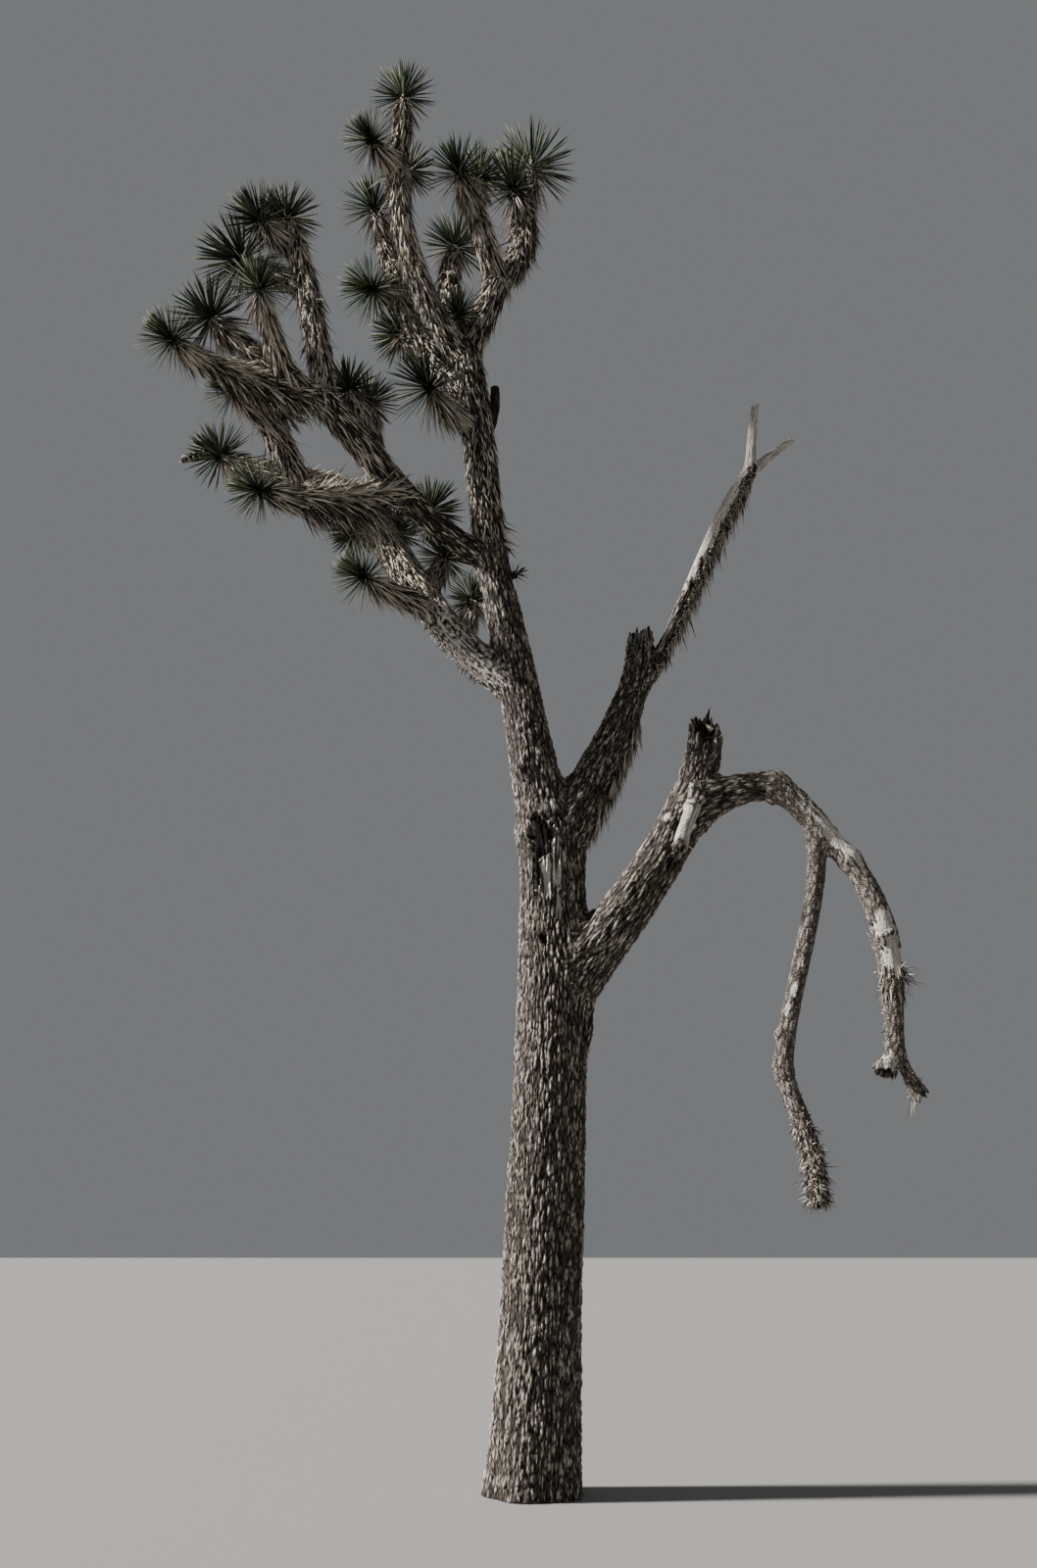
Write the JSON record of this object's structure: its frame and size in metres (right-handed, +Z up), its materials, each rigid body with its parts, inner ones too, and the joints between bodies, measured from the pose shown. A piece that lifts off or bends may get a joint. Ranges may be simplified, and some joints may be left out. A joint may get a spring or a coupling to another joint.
{
  "type": "joshua tree",
  "caption": "Tall leaning-crowned joshua tree with a thick bare trunk, shaggy forking boughs tipped with leaf rosettes, and dead broken limbs.",
  "frame": {"origin": "centre of the flat cut under the trunk, at ground level", "axes": "+X to the right of the picture, +Y away from the viewer of the picture, +Z up"},
  "size_m": [4.7487, 2.3863, 9.9622],
  "materials": {
    "bark": "corky furrowed grey-brown bark, with grey dead leaves on the upper boughs",
    "bare_wood": "weathered pale wood without bark",
    "foliage": "stiff grey-green bayonet leaves, half matt"
  },
  "bodies": {
    "root": {"trunk": "bark", "left_stem": "bark", "dead_bough": "bark", "right_bough": "bark", "leader": "bark", "leader_stub": "bark", "left_bough": "bark", "lower_bough": "bark", "lower_bough_tip": "bark", "dead_limb": "bare_wood", "dead_twig_upright": "bare_wood", "dead_twig_slanting": "bare_wood", "arch_rise": "bark", "arch_fall": "bark", "hanging_outer": "bark", "outer_stub_left": "bark", "outer_stub_right": "bark", "hanging_inner": "bark", "hanging_inner_tip": "bark", "broken_twig": "bark", "top_bough": "bark", "back_bough": "bark", "right_crown": "bark", "right_crown_left": "bark", "right_crown_right": "bark", "middle_crown": "bark", "left_crown_top": "bark", "left_crown_side": "bark", "left_crown_front": "bark", "low_crown": "bark", "level_branch": "bark", "crown_tip_leaves": "foliage", "crown_left_leaves": "foliage", "crown_behind_leaves": "foliage", "back_tip_leaves": "foliage", "back_middle_leaves": "foliage", "back_low_leaves": "foliage", "leader_front_leaves": "foliage", "right_inner_leaves": "foliage", "right_outer_leaves": "foliage", "middle_tip_leaves": "foliage", "middle_front_leaves": "foliage", "left_top_leaves": "foliage", "left_behind_leaves": "foliage", "left_front_leaves": "foliage", "left_upper_leaves": "foliage", "left_tip_leaves": "foliage", "low_left_leaves": "foliage", "low_back_leaves": "foliage", "low_outer_leaves": "foliage", "level_tip_leaves": "foliage", "left_bough_top_leaves": "foliage", "left_bough_back_leaves": "foliage", "lower_back_leaves": "foliage", "lower_inner_leaves": "foliage", "lower_foot_leaves": "foliage", "lower_outer_leaves": "foliage", "lower_left_leaves": "foliage", "sprout_leaves": "foliage"}
  },
  "joints": []
}
